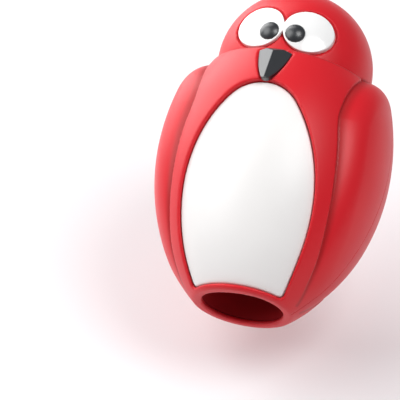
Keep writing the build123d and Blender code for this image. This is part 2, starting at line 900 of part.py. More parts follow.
with BuildPart() as gate_flap:
    with BuildSketch(pivot):
        Rectangle(flap_reach, gate_thickness, align=(Align.MIN, Align.CENTER))
        Circle(hub_radius)
    extrude(amount=hub_half, both=True)
    for side in (-1, 1):
        with BuildSketch(pivot.offset(side * crank_inner_half)):
            Circle(hub_radius)
            with Locations((-button_travel / 2, crank_lift)):
                Circle(hub_radius)
            make_hull()
        extrude(amount=side * crank_thickness)
    with BuildSketch(pivot):
        with Locations((-button_travel / 2, crank_lift)):
            Circle(crank_pin_radius)
    extrude(amount=crank_inner_half, both=True)
    with BuildSketch(pivot):
        Circle(gate_pin_radius + pin_gap)
    extrude(amount=deep, both=True, mode=Mode.SUBTRACT)
gate_flap.part.label = "gate_flap"
export_step(gate_flap.part, "parts/gate_flap.step")

pin_half = lug_outer + 3 * clip_thickness

with BuildPart() as gate_pin:
    with BuildSketch(pivot):
        Circle(gate_pin_radius)
    extrude(amount=pin_half, both=True)
gate_pin.part.label = "gate_pin"
export_step(gate_pin.part, "parts/gate_pin.step")

with BuildPart() as gate_pin_clips:
    for side in (-1, 1):
        with BuildSketch(pivot.offset(side * (lug_outer + clip_thickness / 4))):
            Circle(clip_radius)
            Circle(gate_pin_radius, mode=Mode.SUBTRACT)
            with Locations((0, clip_radius)):
                Rectangle(gate_pin_radius, 2 * clip_radius, mode=Mode.SUBTRACT)
        extrude(amount=side * clip_thickness)
gate_pin_clips.part.label = "gate_pin_clips"
export_step(gate_pin_clips.part, "parts/gate_pin_clips.step")

# Chute from the throat to the outlet, open at the front where the panel comes back
with BuildPart() as chute_bore:
    with BuildSketch(front):
        with BuildLine():
            Polyline(
                (0, 0),
                (chute_foot_radius, 0),
                (chute_foot_radius, base_thickness),
                (chute_top_radius, chute_top),
                (0, chute_top),
                close=True,
            )
        make_face()
    revolve(axis=Axis.Z)

with BuildPart() as outlet_chute:
    with BuildSketch(front):
        with BuildLine():
            Polyline(
                (0, base_thickness + fit),
                (chute_foot_radius + chute_wall, base_thickness + fit),
                (chute_top_radius + chute_wall, chute_top),
                (0, chute_top),
                close=True,
            )
        make_face()
    revolve(axis=Axis.Z)
    with BuildSketch(front.offset(-ear_half)):
        with Locations((0, foot_screw[1])):
            Rectangle(2 * (foot_screw[0] + shell_boss_radius), 2 * shell_boss_radius)
    extrude(amount=ear_thickness)
    add(chute_bore.part, mode=Mode.SUBTRACT)
    with Locations((0, -chute_front, 0)):
        Box(deep, deep, deep, align=(Align.CENTER, Align.MAX, Align.CENTER), mode=Mode.SUBTRACT)
    with BuildSketch(front):
        with Locations([(side * foot_screw[0], foot_screw[1]) for side in (-1, 1)]):
            Circle(shell_screw_radius + slide_gap)
    extrude(amount=ear_thickness, both=True, mode=Mode.SUBTRACT)
    add(lining, mode=Mode.INTERSECT)
    add(girth(panel_wall + fit, back=recess + button_travel), mode=Mode.INTERSECT)
outlet_chute.part.label = "outlet_chute"
export_step(outlet_chute.part, "parts/outlet_chute.step")

with BuildPart() as shell_screws:
    with BuildSketch(front.offset(-shell_seat)):
        with Locations(shell_screws_at):
            Circle(shell_screw_radius)
    extrude(amount=shell_screw_length)
    with BuildSketch(front.offset(-shell_seat)):
        with Locations(shell_screws_at):
            Circle(shell_head_radius)
    extrude(amount=-shell_head_height)
shell_screws.part.label = "shell_screws"
export_step(shell_screws.part, "parts/shell_screws.step")

# Eyes
eye_sphere = head_radius + eye_dome
pupil_depth = eye_pocket / 2
pupil_ball = (pupil_radius**2 + pupil_rise**2) / (2 * pupil_rise)
eye_studs_at = [(side * eye_stud[0], eye_stud[1]) for side in (-1, 1)]
beak_studs_at = [(0, height) for height in beak_studs]


def pupil_seat(side):
    """Plane on the eye's surface at the middle of a pupil."""
    x = side * pupil_spread
    rise = pupil_height - head_height
    depth = math.sqrt(eye_sphere**2 - x**2 - rise**2)
    return Plane(origin=(x, -depth, pupil_height), x_dir=(depth, x, 0), z_dir=(x, -depth, rise))


with BuildPart() as eye_whites:
    with BuildSketch(front):
        add(eye_outline(0))
    extrude(amount=deep)
    with Locations((0, 0, head_height)):
        Sphere(eye_sphere, mode=Mode.INTERSECT)
        Sphere(head_radius - eye_pocket, mode=Mode.SUBTRACT)
    for side in (-1, 1):
        with BuildSketch(pupil_seat(side).offset(-pupil_depth)):
            Circle(pupil_radius)
        extrude(amount=2 * eye_pocket, mode=Mode.SUBTRACT)
    eye_stud_back = eye_nut_seat - nut_thickness - stud_past_nut
    with BuildSketch(front.offset(eye_stud_back)):
        with Locations(eye_studs_at):
            Circle(stud_radius)
    extrude(amount=depth_at(*eye_stud, eye_pocket / 2) - eye_stud_back)
eye_whites.part.label = "eye_whites"
export_step(eye_whites.part, "parts/eye_whites.step")

for name, side in (("pupil_left", -1), ("pupil_right", 1)):
    seat = pupil_seat(side)
    with BuildPart() as pupil:
        with BuildSketch(seat.offset(-pupil_depth)):
            Circle(pupil_radius)
        extrude(amount=pupil_depth + pupil_rise)
        with Locations(seat.origin + seat.z_dir * (pupil_rise - pupil_ball)):
            Sphere(pupil_ball, mode=Mode.INTERSECT)
    pupil.part.label = name
    export_step(pupil.part, f"parts/{name}.step")

with BuildPart() as eye_push_nuts:
    with BuildSketch(front.offset(eye_nut_seat - nut_thickness)):
        with Locations(eye_studs_at):
            Circle(nut_radius)
            Circle(stud_radius, mode=Mode.SUBTRACT)
    extrude(amount=nut_thickness)
eye_push_nuts.part.label = "eye_push_nuts"
export_step(eye_push_nuts.part, "parts/eye_push_nuts.step")

# Beak: two side facets that meet in a ridge, and a small facet on top
ridge_height = depth_at(0, beak_top) + beak_rise
ridge_end = depth_at(0, beak_tip) + beak_rise - beak_tip_fall
ridge = Plane(
    origin=(0, -ridge_height, beak_top),
    x_dir=(1, 0, 0),
    z_dir=(0, ridge_height - ridge_end, beak_tip - beak_top),
)
facet_reach = 4 * beak_rise

with BuildPart() as beak:
    with BuildSketch(front):
        add(beak_outline(0))
    extrude(amount=deep)
    add(in_front_of_floor(0), mode=Mode.INTERSECT)
    with BuildSketch(ridge.offset(-beak_top)):
        with BuildLine():
            Polyline(
                (0, 0),
                (2 * beak_half_width, -2 * beak_fall),
                (2 * beak_half_width, -deep),
                (-2 * beak_half_width, -deep),
                (-2 * beak_half_width, -2 * beak_fall),
                close=True,
            )
        make_face()
    extrude(amount=3 * beak_top, mode=Mode.INTERSECT)
    with BuildSketch(Plane.YZ):
        with BuildLine():
            Polyline(
                (
                    -ridge_height - facet_reach,
                    beak_top - beak_facet_drop - beak_facet_slope * facet_reach,
                ),
                (-ridge_height + beak_rise, beak_top + beak_facet_overlap),
                (-ridge_height - facet_reach, beak_top + beak_facet_overlap),
                close=True,
            )
        make_face()
    extrude(amount=2 * beak_half_width, both=True, mode=Mode.SUBTRACT)
    beak_stud_back = beak_nut_seat - nut_thickness - stud_past_nut
    for height in beak_studs:
        with BuildSketch(front.offset(beak_stud_back)):
            with Locations((0, height)):
                Circle(stud_radius)
        extrude(amount=beak_floor_tip - beak_lean * (height - beak_tip) + beak_pocket - beak_stud_back)
beak.part.label = "beak"
export_step(beak.part, "parts/beak.step")

with BuildPart() as beak_push_nuts:
    with BuildSketch(front.offset(beak_nut_seat - nut_thickness)):
        with Locations(beak_studs_at):
            Circle(beak_nut_radius)
            Circle(stud_radius, mode=Mode.SUBTRACT)
    extrude(amount=nut_thickness)
beak_push_nuts.part.label = "beak_push_nuts"
export_step(beak_push_nuts.part, "parts/beak_push_nuts.step")
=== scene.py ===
import json
import math

import bpy
import numpy as np
from mathutils import Matrix, Vector


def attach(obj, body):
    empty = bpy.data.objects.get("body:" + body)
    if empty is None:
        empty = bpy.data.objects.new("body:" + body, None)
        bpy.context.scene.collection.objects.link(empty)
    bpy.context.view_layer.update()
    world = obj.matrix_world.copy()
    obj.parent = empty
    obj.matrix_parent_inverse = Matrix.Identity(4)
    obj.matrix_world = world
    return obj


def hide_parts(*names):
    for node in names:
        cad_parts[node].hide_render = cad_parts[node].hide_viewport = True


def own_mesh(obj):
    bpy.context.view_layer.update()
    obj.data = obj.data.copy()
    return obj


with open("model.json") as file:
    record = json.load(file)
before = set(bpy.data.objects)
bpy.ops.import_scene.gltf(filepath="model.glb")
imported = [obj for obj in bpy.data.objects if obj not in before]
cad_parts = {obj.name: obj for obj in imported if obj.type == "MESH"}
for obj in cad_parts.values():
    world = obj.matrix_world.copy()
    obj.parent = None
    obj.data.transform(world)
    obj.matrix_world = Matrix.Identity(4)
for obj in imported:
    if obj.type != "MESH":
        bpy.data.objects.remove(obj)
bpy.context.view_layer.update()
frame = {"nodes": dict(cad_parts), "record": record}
nodes = frame["nodes"]
mm = 0.001

cameraView = {
    "yaw": 15.35,  # degrees towards +X
    "elevation": -22.19,
    "roll": 12.51,
    "distance": 1.81,
    "lens": 325.6,
    "near": 0.05,
    "far": 20,
    "middle": (0.0, 0.0, 0.085),
    "right": 0.0384,  # where the figure's middle sits in the picture
    "up": 0.0237,
}
yaw = math.radians(cameraView["yaw"])
rise = math.radians(cameraView["elevation"])
roll = math.radians(cameraView["roll"])
middle = Vector(cameraView["middle"])
towardsCamera = Vector(
    (math.sin(yaw) * math.cos(rise), -math.cos(yaw) * math.cos(rise), math.sin(rise))
)
levelRight = Vector((math.cos(yaw), math.sin(yaw), 0))
levelUp = towardsCamera.cross(levelRight)
pictureRight = levelRight * math.cos(roll) + levelUp * math.sin(roll)
pictureUp = levelUp * math.cos(roll) - levelRight * math.sin(roll)


def place(right, up, towards):
    return middle + pictureRight * right + pictureUp * up + towardsCamera * towards


def looking(fromPoint, toPoint, upWay):
    back = (fromPoint - toPoint).normalized()
    side = upWay.cross(back).normalized()
    turned = Matrix((side, back.cross(side), back)).transposed().to_4x4()
    return Matrix.Translation(fromPoint) @ turned


cameraData = bpy.data.cameras.new("camera")
cameraData.lens = cameraView["lens"]
cameraData.clip_start = cameraView["near"]
cameraData.clip_end = cameraView["far"]
camera = bpy.data.objects.new("camera", cameraData)
bpy.context.scene.collection.objects.link(camera)
camera.matrix_world = looking(
    place(0, 0, cameraView["distance"]), place(-cameraView["right"], -cameraView["up"], 0), pictureUp
)
bpy.context.scene.camera = camera
bpy.context.scene.view_settings.view_transform = "Standard"
print("camera placed")

studio = {
    "floorTilt": 35.0,  # degrees that the camera looks down on the floor
    "floorSize": 5,
    "floorColor": (0.73, 0.705, 0.715, 1),
    "floorShine": (1, 0.985, 0.985, 1),  # lifts the floor towards white without more lamp light
    "floorLift": 0.11,
    "floorRoughness": 0.9,
    "floorSpecular": 0.1,
    "floorGap": 0.02,  # keeps the contact shadow soft
    "ambient": 0.22,
    "ambientColor": (0.93, 0.95, 1.0, 1),
    "lamps": {  # right, up, towards, size, watts
        "keyLamp": (-0.95, 0.72, 0.62, 1.3, 14.0),
        "fillLamp": (0.7, 0.8, 1.15, 0.9, 14.0),
        "topLamp": (-0.3, 1.2, -0.2, 0.7, 3.0),
        "backLamp": (-0.85, 0.85, -0.6, 1.3, 14.0),
    },
}


def addLamp(name, right, up, towards, size, watts):
    lampData = bpy.data.lights.new(name, "AREA")
    lampData.shape = "DISK"
    lampData.size = size
    lampData.energy = watts
    lamp = bpy.data.objects.new(name, lampData)
    bpy.context.scene.collection.objects.link(lamp)
    lamp.matrix_world = looking(place(right, up, towards), middle, pictureUp)


for lampName, values in studio["lamps"].items():
    addLamp(lampName, *values)

world = bpy.data.worlds.new("studioWorld")
bpy.context.scene.world = world
world.use_nodes = True
worldNodes = world.node_tree.nodes
worldLinks = world.node_tree.links
worldNodes.clear()
worldOut = worldNodes.new("ShaderNodeOutputWorld")
ambientLight = worldNodes.new("ShaderNodeBackground")
ambientLight.inputs["Color"].default_value = studio["ambientColor"]
ambientLight.inputs["Strength"].default_value = studio["ambient"]
whiteBackdrop = worldNodes.new("ShaderNodeBackground")
whiteBackdrop.inputs["Color"].default_value = (1, 1, 1, 1)
worldPath = worldNodes.new("ShaderNodeLightPath")
worldMix = worldNodes.new("ShaderNodeMixShader")
worldLinks.new(worldPath.outputs["Is Camera Ray"], worldMix.inputs[0])
worldLinks.new(ambientLight.outputs[0], worldMix.inputs[1])
worldLinks.new(whiteBackdrop.outputs[0], worldMix.inputs[2])
worldLinks.new(worldMix.outputs[0], worldOut.inputs["Surface"])


def selectOnly(piece):
    bpy.ops.object.select_all(action="DESELECT")
    piece.select_set(True)
    bpy.context.view_layer.objects.active = piece


def newMaterial(name):
    material = bpy.data.materials.new(name)
    material.use_nodes = True
    material.node_tree.nodes.clear()
    return material, material.node_tree.nodes, material.node_tree.links


def makeFloor():
    tilt = math.radians(studio["floorTilt"])
    normal = towardsCamera * math.sin(tilt) + pictureUp * math.cos(tilt)
    shells = [nodes[name].data for name in ("front_shell", "rear_shell")]
    low = min(normal.dot(v.co) for shell in shells for v in shell.vertices)
    turned = Matrix((pictureRight, normal.cross(pictureRight), normal)).transposed().to_4x4()
    bpy.ops.object.select_all(action="DESELECT")
    bpy.ops.mesh.primitive_plane_add(size=studio["floorSize"])
    floor = bpy.context.active_object
    floor.name = "studioFloor"
    foot = normal * (low - studio["floorGap"]) + middle - normal * normal.dot(middle)
    floor.matrix_world = Matrix.Translation(foot) @ turned
    bpy.ops.object.transform_apply(location=True, rotation=True, scale=True)
    material, tree, links = newMaterial("floorPaint")
    out = tree.new("ShaderNodeOutputMaterial")
    paint = tree.new("ShaderNodeBsdfPrincipled")
    paint.inputs["Base Color"].default_value = studio["floorColor"]
    paint.inputs["Roughness"].default_value = studio["floorRoughness"]
    paint.inputs["Specular IOR Level"].default_value = studio["floorSpecular"]
    lift = tree.new("ShaderNodeEmission")
    lift.inputs["Color"].default_value = studio["floorShine"]
    path = tree.new("ShaderNodeLightPath")
    seen = tree.new("ShaderNodeMath")
    seen.operation = "ADD"
    seen.use_clamp = True
    gloss = tree.new("ShaderNodeMath")
    gloss.operation = "ADD"
    strength = tree.new("ShaderNodeMath")
    strength.operation = "MULTIPLY"
    strength.inputs[1].default_value = studio["floorLift"]
    links.new(path.outputs["Is Glossy Ray"], gloss.inputs[0])
    links.new(path.outputs["Is Transmission Ray"], gloss.inputs[1])
    links.new(path.outputs["Is Camera Ray"], seen.inputs[0])
    links.new(gloss.outputs[0], seen.inputs[1])
    links.new(seen.outputs[0], strength.inputs[0])
    links.new(strength.outputs[0], lift.inputs["Strength"])
    lit = tree.new("ShaderNodeAddShader")
    links.new(paint.outputs[0], lit.inputs[0])
    links.new(lift.outputs[0], lit.inputs[1])
    clear = tree.new("ShaderNodeBsdfTransparent")
    facing = tree.new("ShaderNodeNewGeometry")
    oneSided = tree.new("ShaderNodeMixShader")
    links.new(facing.outputs["Backfacing"], oneSided.inputs[0])
    links.new(lit.outputs[0], oneSided.inputs[1])
    links.new(clear.outputs[0], oneSided.inputs[2])
    links.new(oneSided.outputs[0], out.inputs["Surface"])
    floor.data.materials.append(material)


makeFloor()
print("studio lit")


def makeGroup(name, inputs, outputs):
    group = bpy.data.node_groups.new(name, "ShaderNodeTree")
    for label, value in inputs.items():
        socket = group.interface.new_socket(label, in_out="INPUT", socket_type="NodeSocketFloat")
        socket.default_value = value
    for label in outputs:
        group.interface.new_socket(label, in_out="OUTPUT", socket_type="NodeSocketFloat")
    start = group.nodes.new("NodeGroupInput")
    end = group.nodes.new("NodeGroupOutput")
    return group, start, end


def makeGrainGroup():
    # fine moulded grain and the slow unevenness of a moulding
    group, start, end = makeGroup(
        "mouldedGrain", {"Grain Size": 2200.0, "Patch Size": 28.0}, ("Grain", "Patches")
    )
    new, link = group.nodes.new, group.links.new
    where = new("ShaderNodeTexCoord")
    grain = new("ShaderNodeTexNoise")
    grain.inputs["Detail"].default_value = 2
    patches = new("ShaderNodeTexNoise")
    patches.inputs["Detail"].default_value = 3
    patches.inputs["Roughness"].default_value = 0.55
    link(where.outputs["Object"], grain.inputs["Vector"])
    link(where.outputs["Object"], patches.inputs["Vector"])
    link(start.outputs["Grain Size"], grain.inputs["Scale"])
    link(start.outputs["Patch Size"], patches.inputs["Scale"])
    link(grain.outputs["Fac"], end.inputs["Grain"])
    link(patches.outputs["Fac"], end.inputs["Patches"])
    return group


def makeEdgeWearAndHighlightGroup():
    # lips and corners, made lighter in colour: rubbing wear with a painted highlight
    group, start, end = makeGroup("wornAndHighlitEdges", {"Reach": 0.0012, "Amount": 1.0}, ("Edges",))
    new, link = group.nodes.new, group.links.new
    rounded = new("ShaderNodeBevel")
    rounded.samples = 6
    facing = new("ShaderNodeNewGeometry")
    match = new("ShaderNodeVectorMath")
    match.operation = "DOT_PRODUCT"
    turnedBy = new("ShaderNodeMath")
    turnedBy.operation = "SUBTRACT"
    turnedBy.inputs[0].default_value = 1.0
    stronger = new("ShaderNodeMath")
    stronger.operation = "MULTIPLY"
    stronger.use_clamp = True
    link(start.outputs["Reach"], rounded.inputs["Radius"])
    link(rounded.outputs["Normal"], match.inputs[0])
    link(facing.outputs["Normal"], match.inputs[1])
    link(match.outputs["Value"], turnedBy.inputs[1])
    link(turnedBy.outputs[0], stronger.inputs[0])
    link(start.outputs["Amount"], stronger.inputs[1])
    link(stronger.outputs[0], end.inputs["Edges"])
    return group


grainGroup = makeGrainGroup()
edgeWearAndHighlightGroup = makeEdgeWearAndHighlightGroup()

# in each finish, "edge" is the lighter colour of lips and corners: rubbing wear with a painted
# highlight
# in each finish, "groove" is the colour of painted shade in the wing grooves, the neck crease and
# along the seam
finishes = {
    "softRed": {
        "color": (0.66, 0.004, 0.013), "edge": (0.72, 0.02, 0.04), "patch": (0.61, 0.003, 0.010),
        "groove": (0.40, 0.0, 0.003),
        "roughness": 0.43, "specular": 0.4, "sheen": 0.1, "sheenTint": (1, 0.6, 0.64),
        "grain": 0.1, "grainSize": 2400, "coat": 0.0, "coatRoughness": 0.3,
    },
    # painted shade: a darker copy of the red for the inner parts, which lie in the hollow of the body
    "shadedHollowRed": {
        "color": (0.42, 0.004, 0.008), "edge": (0.48, 0.01, 0.016), "patch": (0.36, 0.003, 0.007),
        "groove": (0.2, 0.001, 0.004),
        "roughness": 0.6, "specular": 0.35, "sheen": 0.0, "sheenTint": (1, 1, 1),
        "grain": 0.1, "grainSize": 2000, "coat": 0.0, "coatRoughness": 0.3,
    },
    "satinWhite": {
        "color": (0.88, 0.865, 0.85), "edge": (0.93, 0.92, 0.91), "patch": (0.84, 0.82, 0.80),
        "groove": (0.6, 0.58, 0.57),
        "roughness": 0.42, "specular": 0.5, "sheen": 0.0, "sheenTint": (1, 1, 1),
        "grain": 0.05, "grainSize": 2600, "coat": 0.1, "coatRoughness": 0.25,
    },
    "eyeGloss": {
        "color": (0.9, 0.9, 0.89), "edge": (0.95, 0.95, 0.95), "patch": (0.87, 0.87, 0.86),
        "groove": (0.6, 0.6, 0.6),
        "roughness": 0.16, "specular": 0.5, "sheen": 0.0, "sheenTint": (1, 1, 1),
        "grain": 0.008, "grainSize": 900, "coat": 0.5, "coatRoughness": 0.06,
    },
    "blackGloss": {
        "color": (0.012, 0.014, 0.017), "edge": (0.03, 0.033, 0.037), "patch": (0.016, 0.018, 0.022),
        "groove": (0.004, 0.004, 0.004),
        "roughness": 0.36, "specular": 0.7, "sheen": 0.0, "sheenTint": (1, 1, 1),
        "grain": 0.012, "grainSize": 900, "coat": 0.35, "coatRoughness": 0.3,
    },
}

mouldings = {  # what all the moulded finishes share
    "sheenRoughness": 0.45, "shineLow": 0.88, "shineHigh": 1.14, "grainHeight": 0.0003,
}
steel = {
    "dark": (0.42, 0.42, 0.43, 1), "light": (0.6, 0.6, 0.6, 1),
    "grainSize": 1800, "patchSize": 300, "shineLow": 0.22, "shineHigh": 0.42,
}


def makeMoulding(name, values):
    material, tree, links = newMaterial(name)
    out = tree.new("ShaderNodeOutputMaterial")
    surface = tree.new("ShaderNodeBsdfPrincipled")
    surface.inputs["Specular IOR Level"].default_value = values["specular"]
    surface.inputs["Sheen Weight"].default_value = values["sheen"]
    surface.inputs["Sheen Roughness"].default_value = mouldings["sheenRoughness"]
    surface.inputs["Sheen Tint"].default_value = (*values["sheenTint"], 1)
    surface.inputs["Coat Weight"].default_value = values["coat"]
    surface.inputs["Coat Roughness"].default_value = values["coatRoughness"]
    grain = tree.new("ShaderNodeGroup")
    grain.node_tree = grainGroup
    grain.inputs["Grain Size"].default_value = values["grainSize"]
    edges = tree.new("ShaderNodeGroup")
    edges.node_tree = edgeWearAndHighlightGroup
    # painted shade: the groove colour darkens the grooves, the neck crease and the seam
    grooveShadeMarks = tree.new("ShaderNodeAttribute")
    grooveShadeMarks.attribute_name = "paintedGrooveShade"
    grooveShadeMix = tree.new("ShaderNodeMix")
    grooveShadeMix.data_type = "RGBA"
    grooveShadeMix.inputs["B"].default_value = (*values["groove"], 1)
    patchMix = tree.new("ShaderNodeMix")
    patchMix.data_type = "RGBA"
    patchMix.inputs["A"].default_value = (*values["color"], 1)
    patchMix.inputs["B"].default_value = (*values["patch"], 1)
    # painted highlight with rubbing wear: lips and corners take the lighter edge colour
    edgeWearHighlightMix = tree.new("ShaderNodeMix")
    edgeWearHighlightMix.data_type = "RGBA"
    edgeWearHighlightMix.inputs["B"].default_value = (*values["edge"], 1)
    shine = tree.new("ShaderNodeMapRange")
    shine.inputs["To Min"].default_value = values["roughness"] * mouldings["shineLow"]
    shine.inputs["To Max"].default_value = values["roughness"] * mouldings["shineHigh"]
    bump = tree.new("ShaderNodeBump")
    bump.inputs["Strength"].default_value = values["grain"]
    bump.inputs["Distance"].default_value = mouldings["grainHeight"]
    links.new(grain.outputs["Patches"], patchMix.inputs["Factor"])
    links.new(patchMix.outputs["Result"], edgeWearHighlightMix.inputs["A"])
    links.new(edges.outputs["Edges"], edgeWearHighlightMix.inputs["Factor"])
    links.new(edgeWearHighlightMix.outputs["Result"], grooveShadeMix.inputs["A"])
    links.new(grooveShadeMarks.outputs["Fac"], grooveShadeMix.inputs["Factor"])
    links.new(grooveShadeMix.outputs["Result"], surface.inputs["Base Color"])
    links.new(grain.outputs["Patches"], shine.inputs["Value"])
    links.new(shine.outputs["Result"], surface.inputs["Roughness"])
    links.new(grain.outputs["Grain"], bump.inputs["Height"])
    links.new(bump.outputs["Normal"], surface.inputs["Normal"])
    links.new(surface.outputs[0], out.inputs["Surface"])
    return material


def makeSteel():
    material, tree, links = newMaterial("plainSteel")
    out = tree.new("ShaderNodeOutputMaterial")
    surface = tree.new("ShaderNodeBsdfPrincipled")
    surface.inputs["Metallic"].default_value = 1.0
    grain = tree.new("ShaderNodeGroup")
    grain.node_tree = grainGroup
    grain.inputs["Grain Size"].default_value = steel["grainSize"]
    grain.inputs["Patch Size"].default_value = steel["patchSize"]
    tone = tree.new("ShaderNodeMix")
    tone.data_type = "RGBA"
    tone.inputs["A"].default_value = steel["dark"]
    tone.inputs["B"].default_value = steel["light"]
    shine = tree.new("ShaderNodeMapRange")
    shine.inputs["To Min"].default_value = steel["shineLow"]
    shine.inputs["To Max"].default_value = steel["shineHigh"]
    links.new(grain.outputs["Patches"], tone.inputs["Factor"])
    links.new(tone.outputs["Result"], surface.inputs["Base Color"])
    links.new(grain.outputs["Patches"], shine.inputs["Value"])
    links.new(shine.outputs["Result"], surface.inputs["Roughness"])
    links.new(surface.outputs[0], out.inputs["Surface"])
    return material


paints = {name: makeMoulding(name, values) for name, values in finishes.items()}
paints["plainSteel"] = makeSteel()
nodeFinish = {
    "front_shell": "softRed", "rear_shell": "softRed", "filler_door": "softRed",
    "belly_button": "satinWhite", "button_carriage": "satinWhite",
    "treat_hopper": "shadedHollowRed", "outlet_chute": "shadedHollowRed", "gate_flap": "shadedHollowRed",
    "eye_whites": "eyeGloss", "pupil_left": "blackGloss", "pupil_right": "blackGloss",
    "beak": "blackGloss",
}
for name, node in nodes.items():
    paint = paints[nodeFinish.get(name, "plainSteel")]
    if not node.material_slots:
        node.data.materials.append(paint)
    for materialSlot in node.material_slots:
        materialSlot.material = paint
print("finishes made")

bodyForm = {  # tangent arcs of the body's profile, millimetres
    "bodyRadius": 54.0, "baseRadius": 24.7, "girthHeight": 75.4,
    "girthArc": 125.005, "footArc": 70.0, "shoulderArc": 100.0,
    "neckHeight": 123.0, "headRadius": 39.3, "headHeight": 131.0,
}
wingForm = {
    "radius": 58.5, "height": 78.0, "lowerArc": 112.3, "upperArc": 122.6,
    "leafHalf": 37.4, "leafWidest": 82.0, "leafTop": 126.5, "leafTopArc": 26.0, "leafLowerArc": 110.1,
    "pillow": 9.5,  # width over which the pad rounds up from its groove
    "sunk": 1.0, "grooveHalf": 1.3,
    "tipStart": 3.0, "tipFade": 16.0,  # heights between which the pad fades in from its tip
    "drawIn": 2.3, "drawMiddle": 52.0, "drawSpan": 40.0,  # the pad's edge lies back along its middle
    "clearOfMiddle": 15.0,  # a wing has no point nearer to the middle plane
}
lineForm = {  # painted shade as soft dark lines in the grooves and on the seam, and the seam's own small groove
    "wing": 0.9, "wingAside": -0.1, "neck": 0.7,
    "seamDepth": 0.16, "seamReach": 0.3, "seamShade": 0.75, "onSeam": 0.02,
}
shellForm = {
    "voxel": 0.6, "keep": 0.5, "smooth": 4,
    "seatReach": 0.09, "wallDepth": 1.35, "aboveRing": 0.4,
    "grooveReach": -1.8, "relaxBand": 0.8,  # around the pad's edge, where the groove is left to relax
    "lineDepth": 1.5, "seamWall": 1.0, "seamStart": 0.5, "cutMerge": 1e-4,
}
softForm = {"panelBack": 3.0, "eyeRadius": 39.8, "eyeReach": 0.06, "merge": 0.002, "relaxFactor": 0.5}


def bodyRadiusAt(height):
    f = bodyForm
    girthX = f["bodyRadius"] - f["girthArc"]
    span = math.hypot(f["baseRadius"] - girthX, f["girthHeight"])
    slip = f["girthArc"] - f["footArc"]
    turn = math.atan2(f["girthHeight"], f["baseRadius"] - girthX)
    turn -= math.acos((span**2 + slip**2 - f["footArc"] ** 2) / (2 * slip * span))
    footX, footZ = girthX + slip * math.cos(turn), f["girthHeight"] - slip * math.sin(turn)
    joinZ = f["girthHeight"] - f["girthArc"] * math.sin(turn)

    def arc(x, z, radius):
        return x + np.sqrt(np.maximum(0, radius**2 - (height - z) ** 2))

    foot = arc(footX, footZ, f["footArc"])
    girth = arc(girthX, f["girthHeight"], f["girthArc"])
    shoulder = arc(f["bodyRadius"] - f["shoulderArc"], f["girthHeight"], f["shoulderArc"])
    head = arc(0, f["headHeight"], f["headRadius"])
    lower = np.where(height < joinZ, foot, girth)
    upper = np.where(height < f["neckHeight"], shoulder, head)
    return np.where(height < f["girthHeight"], lower, upper)


def wingRadiusAt(height):
    w = wingForm
    reach = np.where(height < w["height"], w["lowerArc"], w["upperArc"])
    return w["radius"] - reach + np.sqrt(np.maximum(0, reach**2 - (height - w["height"]) ** 2))


def insideLeaf(across, height):
    # how far a point lies inside the outline of a wing, seen from the side
    w = wingForm
    half, widest, topArc = w["leafHalf"], w["leafWidest"], w["leafTopArc"]
    rise = w["leafTop"] - topArc - widest
    upperArc = (half**2 + rise**2 - topArc**2) / (2 * (half - topArc))
    turn = math.atan2(rise, upperArc - half)
    side = np.abs(across)
    lower = w["leafLowerArc"] - np.hypot(side - half + w["leafLowerArc"], height - widest)
    upper = upperArc - np.hypot(side - half + upperArc, height - widest)
    top = topArc - np.hypot(side, height - widest - rise)
    onTop = np.arctan2(height - widest, side - half + upperArc) > turn
    return np.where(height < widest, lower, np.where(onTop, top, upper))


def insidePad(across, height):
    w = wingForm
    draw = np.clip(1 - ((height - w["drawMiddle"]) / w["drawSpan"]) ** 2, 0, 1)
    return insideLeaf(across, height) - w["drawIn"] * draw


def pillowRadiusAt(across, height):
    # a wing's pad rises from its groove in a soft round and fades out at its tip
    w = wingForm
    body = bodyRadiusAt(height)
    proud = np.maximum(0, wingRadiusAt(height) - body)
    inside = insidePad(across, height)
    depth = np.clip(inside / w["pillow"], 0, 1)
    fade = np.clip((height - w["tipStart"]) / w["tipFade"], 0, 1)
    fade = fade * fade * (3 - 2 * fade)
    swell = np.sqrt(1 - (1 - depth) ** 2)
    sunk = w["sunk"] * fade * np.clip(1 + inside / w["grooveHalf"], 0, 1)
    return body - sunk + (proud * fade + sunk) * swell


def readPoints(mesh):
    flat = np.empty(len(mesh.vertices) * 3, dtype=np.float64)
    mesh.vertices.foreach_get("co", flat)
    return flat.reshape(-1, 3)


def writePoints(piece, points):
    piece.data.vertices.foreach_set("co", points.ravel())
    piece.data.update()


def seatOnTurned(points, radiusAt, back, reach):
    # points close to a turned surface about an upright axis are put exactly on it
    across = np.hypot(points[:, 0], points[:, 1] - back)
    wanted = radiusAt(points[:, 2] / mm) * mm
    close = np.abs(across - wanted) < reach
    scale = np.where(close, wanted / np.maximum(across, 1e-9), 1.0)
    points[:, 0] *= scale
    points[:, 1] = back + (points[:, 1] - back) * scale
    return close


def seatOnBall(points, centre, radius, reach):
    away = points - np.array(centre)
    far = np.linalg.norm(away, axis=1)
    close = np.abs(far - radius) < reach
    scale = np.where(close, radius / np.maximum(far, 1e-9), 1.0)
    points[:] = np.array(centre) + away * scale[:, None]
    return close


def besideMiddle(points):
    return np.abs(points[:, 0]) > wingForm["clearOfMiddle"] * mm


def nearSkin(points, depth):
    # points outside the body or less than a depth under its surface
    return np.hypot(points[:, 0], points[:, 1]) / mm > bodyRadiusAt(points[:, 2] / mm) - depth


def onWing(points):
    # outer points of the two wings, with the walls of the pads and their grooves
    f = shellForm
    height = points[:, 2] / mm
    inside = insideLeaf(points[:, 1] / mm, height) > f["grooveReach"]
    return inside & nearSkin(points, f["wallDepth"]) & besideMiddle(points) & (height > f["aboveRing"])


